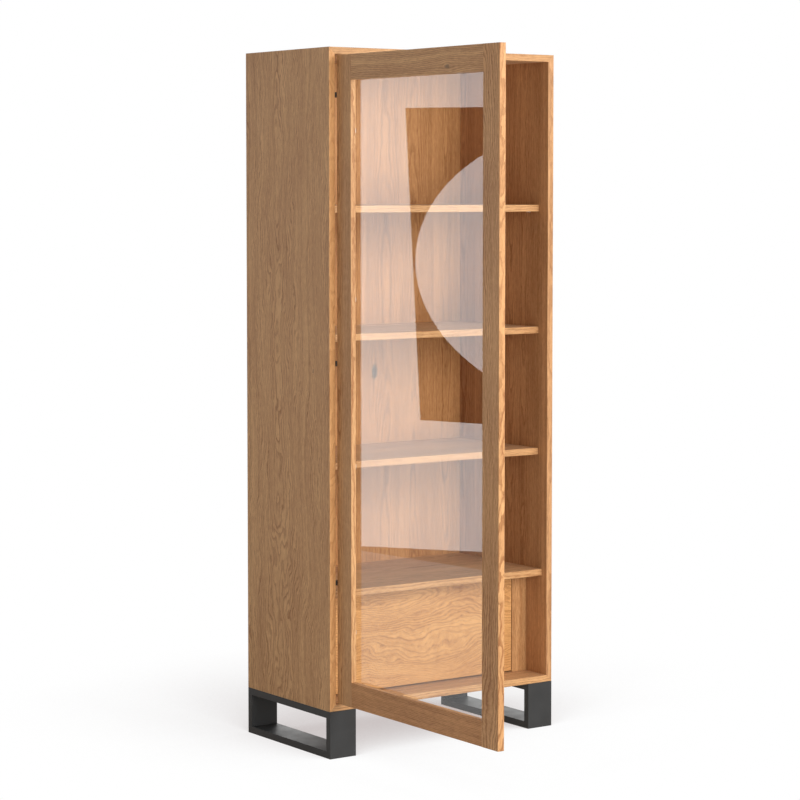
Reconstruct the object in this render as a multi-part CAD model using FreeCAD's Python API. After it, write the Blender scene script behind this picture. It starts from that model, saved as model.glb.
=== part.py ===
import FreeCAD, Part
import os

# Tall oak bookcase with one framed glass door, an inner drawer and two steel loop feet.
# Millimetres. X runs to the right, Y runs back from the front plane, Z runs up from the floor.
# The origin is the front left corner of the footprint. The door stands open at a right angle.

# ---- carcass ----
WIDTH = 794.0
DEPTH = 440.0
HEIGHT = 2000.0
BOARD = 20.0                    # oak boards of the case, shelves and door
EASED_EDGE = 1.0                # small chamfer on the long edges that show
FOOT_HEIGHT = 135.0
BACK_THICKNESS = 4.0
BACK_REBATE = 10.0              # how far the back panel laps over each case board

# ---- shelves ----
DRAWER_BAY = 297.0              # clear height between the bottom and the fixed shelf
SHELF_PITCH = 362.5
LOOSE_SHELVES = 3
FIXED_SHELF_SETBACK = 23.5
LOOSE_SHELF_SETBACK = 43.5
LOOSE_SHELF_SIDE_GAP = 0.5
LOOSE_SHELF_BACK_GAP = 2.0
DOWEL_DIAMETER = 8.0
DOWEL_LENGTH = 28.0
DOWEL_IN_SIDE = 12.0
DOWEL_COUNT = 3
DOWEL_INSET = 60.0              # first and last dowel from the shelf's edges
PIN_DIAMETER = 5.0
PIN_IN_SIDE = 10.0
PIN_INSET = 45.0                # shelf pins from the shelf's front and back edges
PIN_TAB_LENGTH = 9.0
PIN_TAB_WIDTH = 10.0
PIN_TAB_THICKNESS = 2.5

# ---- door ----
DOOR_THICKNESS = 20.0
DOOR_GAP = 3.0
STILE_WIDTH = 70.0
RAIL_WIDTH = 70.0
TENON_LENGTH = 40.0
TENON_THICKNESS = 6.0
TENON_SHOULDER = 12.0           # edge of the rail to the tenon, above and below
TENON_SETBACK = 5.0             # front face of the door to the tenon
GLASS_THICKNESS = 4.0
GLASS_REBATE = 10.0             # how far the frame laps over the glass
GLASS_EDGE_GAP = 1.0
CLIP_WIDTH = 12.0
CLIP_LENGTH = 26.0
CLIP_CORNER = 4.0               # cut off each outer corner of a clip
CLIP_THICKNESS = 1.2
CLIP_LAP = 7.0                  # how far a clip reaches over the glass
CLIPS_PER_STILE = 4
CLIPS_PER_RAIL = 2
CLIP_END = 140.0                # first and last clip from the ends of the glass

# ---- hinges ----
LOW_HINGE_RISE = 343.0          # middle of the low hinge above the door's lower edge
MIDDLE_HINGE_RISE = 961.0
HIGH_HINGE_DROP = 110.0         # middle of the high hinge under the door's upper edge
LEAF_THICKNESS = 1.2
LEAF_HEIGHT = 44.0
LEAF_REACH = 17.0               # leaf on the door, along the door's edge
SIDE_LEAF_REACH = 34.0          # leaf on the case side, from the knuckle back
NECK_LENGTH = 5.0
KNUCKLE_HEIGHT = 15.0
KNUCKLE_RADIUS = 1.9
KNUCKLE_GAP = 0.15              # between two knuckles, end to end
KNUCKLE_FRONT = 1.75            # pin's axis in front of the case
HINGE_PIN_RADIUS = 1.0
PIN_CLEARANCE = 0.05
LEAF_ROOM = 0.3                 # between a knuckle and the other leaf

# ---- drawer ----
DRAWER_SETBACK = 100.0
DRAWER_SIDE_GAP = 2.0
DRAWER_GAP_ABOVE = 3.0
DRAWER_GAP_BELOW = 4.0
FILLER_WIDTH = 53.0
DRAWER_BACK_SPACE = 34.0        # behind the drawer box, for the push latches
DRAWER_BOX_HEIGHT = 225.0
DRAWER_BOX_LIFT = 18.0          # underside of the box above the case bottom
DRAWER_WALL = 12.0
DRAWER_BOTTOM_THICKNESS = 6.0
DRAWER_GROOVE_DEPTH = 6.0
DRAWER_GROOVE_LIFT = 12.0
GROOVE_CLEARANCE = 0.1
BRACKET_LEG = 22.0
BRACKET_WIDTH = 16.0
BRACKET_STEEL = 2.0
BRACKETS_PER_SIDE = 2

# ---- drawer runners ----
RUNNER_HEIGHT = 45.0
RUNNER_WIDTH = 12.7
RUNNER_STEEL = 1.5
RUNNER_PLAY = 0.3
RUNNER_LIFT = 85.0              # runner's middle above the underside of the drawer box
RUNNER_START = 2.0              # behind the back of the drawer front
BLOCK_HEIGHT = 90.0
BLOCK_BACK_GAP = 4.0

# ---- push latches ----
LATCH_FROM_RIGHT = 159.0        # door latch from the inner face of the right side
LATCH_SIZE = 14.0
LATCH_LENGTH = 52.0
LATCH_BEHIND_DOOR = 4.0
PLUNGER_RADIUS = 2.5
PLUNGER_WALL = 1.0              # housing wall beside the plunger
PLUNGER_LENGTH = 26.0
PLUNGER_TIP_GAP = 0.3
PLUNGER_CLEARANCE = 0.1
PLUNGER_TRAVEL_BACK = 3.0
STRIKE_THICKNESS = 1.0
STRIKE_WIDTH = 22.0
STRIKE_HEIGHT = 12.0
STRIKE_GAP = 0.1
PUSH_HOUSING_HEIGHT = 24.0
PUSH_HOUSING_LENGTH = 24.0
PUSH_HOUSING_GAP = 2.0

# ---- feet ----
FOOT_WIDTH = 87.5
FOOT_TUBE = 20.0
FOOT_WALL = 2.0
FOOT_SLEEVE_RADIUS = 6.0
FOOT_SCREWS_DEEP = (70.0, 370.0)
FOOT_SCREW_INSET = 24.0         # from each long edge of the foot

# ---- screws ----
SCREW_RADIUS = 2.4
SCREW_HEAD_RADIUS = 4.5
SCREW_HEAD_HEIGHT = 2.6
SCREW_BITE = 14.0
HOLE_CLEARANCE = 0.1
PEG_SIDES = 12                  # facets of a peg, screw or hole that stays out of sight
HEAD_SIDES = 6                  # hexagon heads on the foot screws

# ---- places that follow from the sizes above ----
X_IN_LEFT = BOARD
X_IN_RIGHT = WIDTH - BOARD
Z_BOTTOM = FOOT_HEIGHT + BOARD
Z_CEILING = HEIGHT - BOARD
Y_BACK = DEPTH - BACK_THICKNESS
FIXED_SHELF_TOP = Z_BOTTOM + DRAWER_BAY + BOARD
HINGE_X = X_IN_LEFT + DOOR_GAP / 2.0
HINGE_Y = -KNUCKLE_FRONT
DOOR_LEFT = X_IN_LEFT + DOOR_GAP
DOOR_RIGHT = X_IN_RIGHT - DOOR_GAP
DOOR_LOW = Z_BOTTOM + DOOR_GAP
DOOR_TOP = Z_CEILING - DOOR_GAP
DOOR_OPEN_ANGLE = -90.0
BLOCK_LEFT = X_IN_LEFT + FILLER_WIDTH
BLOCK_RIGHT = X_IN_RIGHT - FILLER_WIDTH
DRAWER_FRONT_LOW = Z_BOTTOM + DRAWER_GAP_BELOW
DRAWER_FRONT_TOP = FIXED_SHELF_TOP - BOARD - DRAWER_GAP_ABOVE
DRAWER_BOX_START = DRAWER_SETBACK + BOARD
DRAWER_BOX_END = Y_BACK - DRAWER_BACK_SPACE
DRAWER_BOX_LOW = Z_BOTTOM + DRAWER_BOX_LIFT
DRAWER_BOX_LEFT = BLOCK_LEFT + RUNNER_WIDTH
DRAWER_BOX_RIGHT = BLOCK_RIGHT - RUNNER_WIDTH
RUNNER_Z = DRAWER_BOX_LOW + RUNNER_LIFT
RUNNER_Y = DRAWER_BOX_START + RUNNER_START
HINGE_HEIGHTS = (DOOR_LOW + LOW_HINGE_RISE, DOOR_LOW + MIDDLE_HINGE_RISE,
                 DOOR_TOP - HIGH_HINGE_DROP)
LATCH_X = X_IN_RIGHT - LATCH_FROM_RIGHT

X_AXIS = FreeCAD.Vector(1, 0, 0)
Y_AXIS = FreeCAD.Vector(0, 1, 0)
Z_AXIS = FreeCAD.Vector(0, 0, 1)


# ---- shared helpers ----
def block(x0, x1, y0, y1, z0, z1):
    """A box between two corners."""
    return Part.makeBox(x1 - x0, y1 - y0, z1 - z0, FreeCAD.Vector(x0, y0, z0))


def rod(radius, length, start, direction):
    """A cylinder that starts at a point and runs along a direction."""
    return Part.makeCylinder(radius, length, FreeCAD.Vector(*start), direction)


def peg(radius, length, start, direction, sides=PEG_SIDES):
    """A faceted rod, for the pegs, screws and holes that stay out of sight."""
    turn = FreeCAD.Rotation(Z_AXIS, direction)
    points = []
    for side in range(sides):
        around = FreeCAD.Rotation(Z_AXIS, 360.0 * side / sides)
        corner = around.multVec(FreeCAD.Vector(radius, 0, 0))
        points.append(FreeCAD.Vector(*start) + turn.multVec(corner))
    return prism(points, direction * length)


def prism(points, direction):
    """A flat outline swept straight along a direction."""
    corners = [FreeCAD.Vector(*p) for p in points]
    return Part.Face(Part.makePolygon(corners + corners[:1])).extrude(direction)


def eased(solid, axis, value):
    """The solid with its long edges chamfered where they lie in the plane axis = value."""
    edges = [edge for edge in solid.Edges if edge.Length > 2.0 * BOARD
             and all(abs(getattr(v.Point, axis) - value) < EASED_EDGE / 10.0
                     for v in edge.Vertexes)]
    return solid.makeChamfer(EASED_EDGE, edges)


def cut_all(solid, tools):
    """The solid with each tool taken away."""
    for tool in tools:
        solid = solid.cut(tool)
    return solid


def join_all(solids):
    """One solid made from pieces that overlap or share faces."""
    whole = solids[0]
    for piece in solids[1:]:
        whole = whole.fuse(piece)
    return whole.removeSplitter()


def mirrored_x(shape, middle):
    """The shape mirrored across the upright plane x = middle."""
    return shape.mirror(FreeCAD.Vector(middle, 0, 0), X_AXIS)


def opened(shape):
    """A piece of the closed door, turned with the door to its open place."""
    turned = shape.copy()
    turned.rotate(FreeCAD.Vector(HINGE_X, HINGE_Y, 0), Z_AXIS, DOOR_OPEN_ANGLE)
    return turned


def spread(first, last, count):
    """Evenly spaced places from the first to the last."""
    return [first + (last - first) * i / (count - 1) for i in range(count)]


# ---- places of the small hardware ----
def shelf_tops():
    """Upper faces of the loose shelves, from the lowest up."""
    return [FIXED_SHELF_TOP + SHELF_PITCH * (i + 1) for i in range(LOOSE_SHELVES)]


def pin_places():
    """Front and back places of the shelf pins and the undersides that they carry."""
    front = LOOSE_SHELF_SETBACK + PIN_INSET
    back = Y_BACK - LOOSE_SHELF_BACK_GAP - PIN_INSET
    return [(y, top - BOARD) for top in shelf_tops() for y in (front, back)]


def dowel_places():
    """Places of the dowels along each end of the fixed shelf."""
    first = FIXED_SHELF_SETBACK + DOWEL_INSET
    return spread(first, Y_BACK - DOWEL_INSET, DOWEL_COUNT)


def leaf_neck_end():
    """Where a hinge leaf widens behind its knuckle."""
    return HINGE_Y + KNUCKLE_RADIUS + NECK_LENGTH


def foot_screw_seats(left):
    """Screw seats inside a foot, on the underside of its top bar."""
    x_low = left + FOOT_SCREW_INSET
    x_high = left + FOOT_WIDTH - FOOT_SCREW_INSET
    z = FOOT_HEIGHT - FOOT_TUBE
    return [(x, y, z) for x in (x_low, x_high) for y in FOOT_SCREWS_DEEP]


# ---- carcass ----
def back_recess():
    """The space that the back panel fills in the case boards."""
    return block(BOARD - BACK_REBATE, WIDTH - BOARD + BACK_REBATE, Y_BACK, DEPTH,
                 FOOT_HEIGHT + BOARD - BACK_REBATE, HEIGHT - BOARD + BACK_REBATE)


def case_side_blank():
    """The left side with mitred ends, before its holes."""
    outline = [(0, 0, FOOT_HEIGHT), (BOARD, 0, Z_BOTTOM),
               (BOARD, 0, Z_CEILING), (0, 0, HEIGHT)]
    return eased(prism(outline, Y_AXIS * DEPTH), "y", 0).cut(back_recess())


def side_holes():
    """Holes for shelf pins and fixed shelf dowels in the left side."""
    pins = [peg(PIN_DIAMETER / 2.0, PIN_IN_SIDE,
                (X_IN_LEFT - PIN_IN_SIDE, y, z - PIN_TAB_THICKNESS / 2.0), X_AXIS)
            for y, z in pin_places()]
    z = FIXED_SHELF_TOP - BOARD / 2.0
    dowels = [peg(DOWEL_DIAMETER / 2.0 + HOLE_CLEARANCE, DOWEL_IN_SIDE,
                  (X_IN_LEFT - DOWEL_IN_SIDE, y, z), X_AXIS) for y in dowel_places()]
    return pins + dowels


def make_sides():
    """Left and right sides of the case."""
    left = cut_all(case_side_blank(), side_holes())
    return {
        "side_left": left,
        "side_right": mirrored_x(left, WIDTH / 2.0),
    }


def make_top():
    """Top board, mitred to the sides."""
    outline = [(0, 0, HEIGHT), (BOARD, 0, Z_CEILING),
               (WIDTH - BOARD, 0, Z_CEILING), (WIDTH, 0, HEIGHT)]
    return eased(prism(outline, Y_AXIS * DEPTH), "y", 0).cut(back_recess())


def make_bottom():
    """Bottom board, mitred to the sides, with holes for the foot screws."""
    outline = [(0, 0, FOOT_HEIGHT), (WIDTH, 0, FOOT_HEIGHT),
               (WIDTH - BOARD, 0, Z_BOTTOM), (BOARD, 0, Z_BOTTOM)]
    board = eased(prism(outline, Y_AXIS * DEPTH), "y", 0).cut(back_recess())
    seats = foot_screw_seats(0) + foot_screw_seats(WIDTH - FOOT_WIDTH)
    return cut_all(board, [peg(SCREW_RADIUS + HOLE_CLEARANCE, SCREW_BITE + HOLE_CLEARANCE,
                               (x, y, FOOT_HEIGHT), Z_AXIS) for x, y, _ in seats])


def make_fixed_shelf():
    """Shelf above the drawer, held by dowels."""
    top = FIXED_SHELF_TOP
    board = eased(block(X_IN_LEFT, X_IN_RIGHT, FIXED_SHELF_SETBACK, Y_BACK, top - BOARD, top),
                  "y", FIXED_SHELF_SETBACK)
    depth = DOWEL_LENGTH - DOWEL_IN_SIDE + HOLE_CLEARANCE
    radius = DOWEL_DIAMETER / 2.0 + HOLE_CLEARANCE
    middle = top - BOARD / 2.0
    holes = [peg(radius, depth, (x, y, middle), direction)
             for y in dowel_places()
             for x, direction in ((X_IN_LEFT, X_AXIS), (X_IN_RIGHT, X_AXIS * -1))]
    return cut_all(board, holes)


def make_dowels():
    """Dowels between the fixed shelf and both sides."""
    middle = FIXED_SHELF_TOP - BOARD / 2.0
    left = [peg(DOWEL_DIAMETER / 2.0, DOWEL_LENGTH, (X_IN_LEFT - DOWEL_IN_SIDE, y, middle), X_AXIS)
            for y in dowel_places()]
    return Part.makeCompound(left + [mirrored_x(d, WIDTH / 2.0) for d in left])


def make_loose_shelf(top):
    """A shelf that rests on four pins."""
    board = block(X_IN_LEFT + LOOSE_SHELF_SIDE_GAP, X_IN_RIGHT - LOOSE_SHELF_SIDE_GAP,
                  LOOSE_SHELF_SETBACK, Y_BACK - LOOSE_SHELF_BACK_GAP, top - BOARD, top)
    return eased(board, "y", LOOSE_SHELF_SETBACK)


def make_shelf_pins():
    """Spoon pins: a peg in the side and a flat tab under the shelf."""
    pins = []
    for y, under in pin_places():
        shaft = peg(PIN_DIAMETER / 2.0 - PIN_CLEARANCE, PIN_IN_SIDE,
                    (X_IN_LEFT - PIN_IN_SIDE, y, under - PIN_TAB_THICKNESS / 2.0), X_AXIS)
        tab = block(X_IN_LEFT, X_IN_LEFT + PIN_TAB_LENGTH, y - PIN_TAB_WIDTH / 2.0,
                    y + PIN_TAB_WIDTH / 2.0, under - PIN_TAB_THICKNESS, under)
        pins.append(shaft.fuse(tab).removeSplitter())
    return Part.makeCompound(pins + [mirrored_x(p, WIDTH / 2.0) for p in pins])


def make_back():
    """Thin back panel in the rebates of the case."""
    return back_recess()


# ---- door, drawn closed and then opened ----
def door_plank(x0, x1, z0, z1):
    """A full thickness piece of the closed door."""
    return block(x0, x1, 0, DOOR_THICKNESS, z0, z1)


def glass_recess():
    """The rebate that the glass lies in, cut from the back of the frame."""
    return block(DOOR_LEFT + STILE_WIDTH - GLASS_REBATE, DOOR_RIGHT - STILE_WIDTH + GLASS_REBATE,
                 DOOR_THICKNESS - GLASS_THICKNESS, DOOR_THICKNESS,
                 DOOR_LOW + RAIL_WIDTH - GLASS_REBATE, DOOR_TOP - RAIL_WIDTH + GLASS_REBATE)


def tenon(z0, z1, slack):
    """Both tenons of a rail as one bar through the stiles, grown by the slack."""
    return block(DOOR_LEFT + STILE_WIDTH - TENON_LENGTH - slack,
                 DOOR_RIGHT - STILE_WIDTH + TENON_LENGTH + slack,
                 TENON_SETBACK - slack, TENON_SETBACK + TENON_THICKNESS + slack,
                 z0 + TENON_SHOULDER - slack, z1 - TENON_SHOULDER + slack)


def rail_spans():
    """Lower and upper edge of the bottom rail and of the top rail."""
    return ((DOOR_LOW, DOOR_LOW + RAIL_WIDTH), (DOOR_TOP - RAIL_WIDTH, DOOR_TOP))


def clip_places():
    """Centre and reach direction of each glass clip, as (x, z, dx, dz)."""
    left = DOOR_LEFT + STILE_WIDTH
    right = DOOR_RIGHT - STILE_WIDTH
    low = DOOR_LOW + RAIL_WIDTH
    top = DOOR_TOP - RAIL_WIDTH
    places = []
    for z in spread(low + CLIP_END, top - CLIP_END, CLIPS_PER_STILE):
        places += [(left, z, 1, 0), (right, z, -1, 0)]
    for x in spread(left + CLIP_END, right - CLIP_END, CLIPS_PER_RAIL):
        places += [(x, low, 0, 1), (x, top, 0, -1)]
    return places


def make_clips():
    """Flat spring clips that hold the glass from behind, each screwed to the frame."""
    tail = CLIP_LAP - GLASS_REBATE - CLIP_LENGTH
    tip = CLIP_LAP - GLASS_REBATE
    half = CLIP_WIDTH / 2.0
    outline = [(tip, -half), (tip, half), (tail + CLIP_CORNER, half), (tail, half - CLIP_CORNER),
               (tail, CLIP_CORNER - half), (tail + CLIP_CORNER, -half)]
    clips = []
    for x, z, dx, dz in clip_places():
        corners = [(x + dx * u - dz * v, DOOR_THICKNESS, z + dz * u + dx * v) for u, v in outline]
        clips.append(prism(corners, Y_AXIS * CLIP_THICKNESS))
    return Part.makeCompound(clips)


def latch_height():
    """Plunger axis of the door's push latch, in the lower part of its housing."""
    return Z_CEILING - LATCH_SIZE + PLUNGER_RADIUS + PLUNGER_WALL


def strike_box(slack):
    """The strike plate, let into the back of the top rail, grown by the slack."""
    z = latch_height()
    return block(LATCH_X - STRIKE_WIDTH / 2.0 - slack, LATCH_X + STRIKE_WIDTH / 2.0 + slack,
                 DOOR_THICKNESS - STRIKE_THICKNESS, DOOR_THICKNESS,
                 z - STRIKE_HEIGHT / 2.0 - slack, z + STRIKE_HEIGHT / 2.0 + slack)


def make_door():
    """Frame, glass, clips and strike plate of the door, in its open place."""
    recess = glass_recess()
    mortises = [tenon(z0, z1, GROOVE_CLEARANCE) for z0, z1 in rail_spans()]
    hinge_stile = door_plank(DOOR_LEFT, DOOR_LEFT + STILE_WIDTH, DOOR_LOW, DOOR_TOP)
    free_stile = door_plank(DOOR_RIGHT - STILE_WIDTH, DOOR_RIGHT, DOOR_LOW, DOOR_TOP)
    pieces = {
        "door_stile_hinge": cut_all(eased(hinge_stile, "x", DOOR_LEFT), mortises + [recess]),
        "door_stile_free": cut_all(eased(free_stile, "x", DOOR_RIGHT), mortises + [recess]),
    }
    ends = zip(("door_rail_bottom", "door_rail_top"), rail_spans(), (DOOR_LOW, DOOR_TOP))
    for name, (z0, z1), outer in ends:
        plank = door_plank(DOOR_LEFT + STILE_WIDTH, DOOR_RIGHT - STILE_WIDTH, z0, z1)
        rail = eased(plank, "z", outer).fuse(tenon(z0, z1, 0)).removeSplitter()
        pieces[name] = cut_all(rail, [recess, strike_box(STRIKE_GAP)])
    pieces["door_glass"] = block(
        recess.BoundBox.XMin + GLASS_EDGE_GAP, recess.BoundBox.XMax - GLASS_EDGE_GAP,
        recess.BoundBox.YMin, recess.BoundBox.YMax,
        recess.BoundBox.ZMin + GLASS_EDGE_GAP, recess.BoundBox.ZMax - GLASS_EDGE_GAP)
    pieces["glass_clips"] = make_clips()
    pieces["latch_strike_plate"] = strike_box(0)
    return {name: opened(shape) for name, shape in pieces.items()}


# ---- hinges ----
def knuckle(z0, z1):
    """One barrel of a hinge around the pin."""
    return rod(KNUCKLE_RADIUS, z1 - z0, (HINGE_X, HINGE_Y, z0), Z_AXIS)


def leaf(x0, middle, reach):
    """A thin leaf: a neck at the knuckle that widens to the screwed plate."""
    neck_end = leaf_neck_end()
    half_neck = KNUCKLE_HEIGHT / 2.0
    half_leaf = LEAF_HEIGHT / 2.0
    end = HINGE_Y + reach
    outline = [(HINGE_Y, -half_neck), (neck_end, -half_neck), (neck_end, -half_leaf),
               (end, -half_leaf), (end, half_leaf), (neck_end, half_leaf),
               (neck_end, half_neck), (HINGE_Y, half_neck)]
    points = [(x0, y, middle + z) for y, z in outline]
    return prism(points, X_AXIS * LEAF_THICKNESS)


def make_hinges():
    """Three narrow hinges: case leaves, pins and door leaves."""
    third = KNUCKLE_HEIGHT / 3.0
    case_leaves, door_leaves, pins = [], [], []
    for middle in HINGE_HEIGHTS:
        low, high = middle - KNUCKLE_HEIGHT / 2.0, middle + KNUCKLE_HEIGHT / 2.0
        bore = rod(HINGE_PIN_RADIUS + PIN_CLEARANCE, KNUCKLE_HEIGHT,
                   (HINGE_X, HINGE_Y, low), Z_AXIS)
        reach = KNUCKLE_RADIUS + LEAF_ROOM
        own_room = block(HINGE_X - reach, HINGE_X + reach, HINGE_Y - reach, HINGE_Y + reach,
                         middle - third / 2.0, middle + third / 2.0)
        end_rooms = [block(HINGE_X - reach, HINGE_X + reach, HINGE_Y - reach, HINGE_Y + reach,
                           z, z + third + KNUCKLE_GAP)
                     for z in (low, high - third - KNUCKLE_GAP)]
        case_plate = leaf(X_IN_LEFT, middle, SIDE_LEAF_REACH).cut(own_room)
        case_leaf = join_all([case_plate, knuckle(low, low + third),
                              knuckle(high - third, high)])
        door_plate = cut_all(leaf(DOOR_LEFT - LEAF_THICKNESS, middle, LEAF_REACH), end_rooms)
        door_leaf = join_all([door_plate, knuckle(low + third + KNUCKLE_GAP,
                                                  high - third - KNUCKLE_GAP)])
        case_leaves.append(case_leaf.cut(bore))
        door_leaves.append(door_leaf.cut(bore))
        pins.append(rod(HINGE_PIN_RADIUS, KNUCKLE_HEIGHT, (HINGE_X, HINGE_Y, low), Z_AXIS))
    return {
        "hinge_leaves_case": Part.makeCompound(case_leaves),
        "hinge_pins": Part.makeCompound(pins),
        "hinge_leaves_door": opened(Part.makeCompound(door_leaves)),
    }


# ---- push latch of the door ----
def make_door_latch():
    """Latch housing under the top board, and its plunger behind the closed door."""
    y0 = DOOR_THICKNESS + LATCH_BEHIND_DOOR
    housing = block(LATCH_X - LATCH_SIZE / 2.0, LATCH_X + LATCH_SIZE / 2.0,
                    y0, y0 + LATCH_LENGTH, Z_CEILING - LATCH_SIZE, Z_CEILING)
    tip = (LATCH_X, DOOR_THICKNESS + PLUNGER_TIP_GAP, latch_height())
    room = rod(PLUNGER_RADIUS + PLUNGER_CLEARANCE,
               PLUNGER_LENGTH + PLUNGER_TRAVEL_BACK + PLUNGER_CLEARANCE, tip, Y_AXIS)
    return {
        "door_latch": housing.cut(room),
        "door_plunger": rod(PLUNGER_RADIUS, PLUNGER_LENGTH, tip, Y_AXIS),
    }


# ---- drawer ----
def make_fillers():
    """Upright strips beside the drawer and the blocks behind them that carry the runners."""
    filler = block(X_IN_LEFT, BLOCK_LEFT, DRAWER_SETBACK, DRAWER_SETBACK + BOARD,
                   Z_BOTTOM, FIXED_SHELF_TOP - BOARD)
    packer = block(X_IN_LEFT, BLOCK_LEFT, DRAWER_SETBACK + BOARD, Y_BACK - BLOCK_BACK_GAP,
                   RUNNER_Z - BLOCK_HEIGHT / 2.0, RUNNER_Z + BLOCK_HEIGHT / 2.0)
    return {
        "filler_left": filler,
        "filler_right": mirrored_x(filler, WIDTH / 2.0),
        "runner_block_left": packer,
        "runner_block_right": mirrored_x(packer, WIDTH / 2.0),
    }


def drawer_floor(slack):
    """The drawer's bottom, lodged in grooves round the box, grown by the slack."""
    reach = DRAWER_WALL - DRAWER_GROOVE_DEPTH - slack
    z0 = DRAWER_BOX_LOW + DRAWER_GROOVE_LIFT
    return block(DRAWER_BOX_LEFT + reach, DRAWER_BOX_RIGHT - reach,
                 DRAWER_BOX_START - DRAWER_GROOVE_DEPTH - slack, DRAWER_BOX_END - reach,
                 z0 - slack, z0 + DRAWER_BOTTOM_THICKNESS + slack)


def bracket_heights():
    """Middles of the angle brackets behind the drawer front."""
    step = DRAWER_BOX_HEIGHT / (BRACKETS_PER_SIDE + 1)
    return [DRAWER_BOX_LOW + step * (i + 1) for i in range(BRACKETS_PER_SIDE)]


def make_brackets():
    """Angle brackets that hold the drawer's sides to its front."""
    x, y = DRAWER_BOX_LEFT + DRAWER_WALL, DRAWER_BOX_START
    angles = []
    for z in bracket_heights():
        low, high = z - BRACKET_WIDTH / 2.0, z + BRACKET_WIDTH / 2.0
        angle = join_all([block(x, x + BRACKET_STEEL, y, y + BRACKET_LEG, low, high),
                          block(x, x + BRACKET_LEG, y, y + BRACKET_STEEL, low, high)])
        angles += [angle, mirrored_x(angle, WIDTH / 2.0)]
    return Part.makeCompound(angles)


def make_drawer():
    """Drawer front and box."""
    groove = drawer_floor(GROOVE_CLEARANCE)
    z0, z1 = DRAWER_BOX_LOW, DRAWER_BOX_LOW + DRAWER_BOX_HEIGHT
    side = block(DRAWER_BOX_LEFT, DRAWER_BOX_LEFT + DRAWER_WALL,
                 DRAWER_BOX_START, DRAWER_BOX_END, z0, z1)
    side = side.cut(groove)
    front = block(BLOCK_LEFT + DRAWER_SIDE_GAP, BLOCK_RIGHT - DRAWER_SIDE_GAP,
                  DRAWER_SETBACK, DRAWER_BOX_START, DRAWER_FRONT_LOW, DRAWER_FRONT_TOP)
    back = block(DRAWER_BOX_LEFT + DRAWER_WALL, DRAWER_BOX_RIGHT - DRAWER_WALL,
                 DRAWER_BOX_END - DRAWER_WALL, DRAWER_BOX_END, z0, z1)
    return {
        "drawer_front": eased(front, "y", DRAWER_SETBACK).cut(groove),
        "drawer_side_left": side,
        "drawer_side_right": mirrored_x(side, WIDTH / 2.0),
        "drawer_back": back.cut(groove),
        "drawer_bottom": drawer_floor(0),
        "drawer_brackets": make_brackets(),
    }


# ---- runners ----
def channel(web_x, lip_x, half_height, y0, y1):
    """A steel channel with its web at one x and its lips reaching to the other."""
    outer = block(min(web_x, lip_x), max(web_x, lip_x), y0, y1,
                  RUNNER_Z - half_height, RUNNER_Z + half_height)
    toward = 1.0 if lip_x > web_x else -1.0
    inner_web = web_x + toward * RUNNER_STEEL
    room = block(min(inner_web, lip_x), max(inner_web, lip_x), y0, y1,
                 RUNNER_Z - half_height + RUNNER_STEEL, RUNNER_Z + half_height - RUNNER_STEEL)
    return outer.cut(room)


def make_runners():
    """Telescopic runners in three members, with the push housings at their back ends."""
    y0, y1 = RUNNER_Y, DRAWER_BOX_END
    half = RUNNER_HEIGHT / 2.0
    step = RUNNER_STEEL + RUNNER_PLAY
    wall, box = BLOCK_LEFT, DRAWER_BOX_LEFT
    outer = channel(wall, box - step, half, y0, y1)
    middle = channel(wall + step, box - step, half - step, y0, y1)
    inner = channel(box, wall + 2.0 * step, half - 2.0 * step, y0, y1)
    catch = block(wall + 2.0 * step, box, y1 - RUNNER_STEEL, y1,
                  RUNNER_Z - half + 2.0 * step, RUNNER_Z + half - 2.0 * step)
    inner = join_all([inner, catch])
    plunger_x = (wall + box) / 2.0
    plunger_y = y1 + PLUNGER_TIP_GAP
    housing_y = y1 + PUSH_HOUSING_GAP
    plunger_length = PUSH_HOUSING_LENGTH - PLUNGER_TRAVEL_BACK - PUSH_HOUSING_GAP
    housing = block(wall, box - RUNNER_PLAY, housing_y, housing_y + PUSH_HOUSING_LENGTH,
                    RUNNER_Z - PUSH_HOUSING_HEIGHT / 2.0, RUNNER_Z + PUSH_HOUSING_HEIGHT / 2.0)
    bore = rod(PLUNGER_RADIUS + PLUNGER_CLEARANCE,
               plunger_length + PLUNGER_TRAVEL_BACK + PLUNGER_CLEARANCE,
               (plunger_x, plunger_y, RUNNER_Z), Y_AXIS)
    plunger = rod(PLUNGER_RADIUS, plunger_length, (plunger_x, plunger_y, RUNNER_Z), Y_AXIS)
    left = {"runner_outer": outer, "runner_middle": middle, "runner_inner": inner,
            "push_housing": housing.cut(bore), "push_plunger": plunger}
    pieces = {}
    for name, shape in left.items():
        pieces[name + "_left"] = shape
        pieces[name + "_right"] = mirrored_x(shape, WIDTH / 2.0)
    return pieces


# ---- feet ----
def mitred_bars(x0, x1, inset):
    """Bottom, back, top and front bar of a loop seen from the side, shrunk by an inset."""
    tube = FOOT_TUBE - inset
    outer = [(inset, inset), (DEPTH - inset, inset),
             (DEPTH - inset, FOOT_HEIGHT - inset), (inset, FOOT_HEIGHT - inset)]
    inner = [(tube, tube), (DEPTH - tube, tube),
             (DEPTH - tube, FOOT_HEIGHT - tube), (tube, FOOT_HEIGHT - tube)]
    bars = []
    for here, after in ((0, 1), (1, 2), (2, 3), (3, 0)):
        outline = [outer[here], outer[after], inner[after], inner[here]]
        bars.append(prism([(x0 + inset, y, z) for y, z in outline],
                          X_AXIS * (x1 - x0 - 2.0 * inset)))
    return bars


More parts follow.
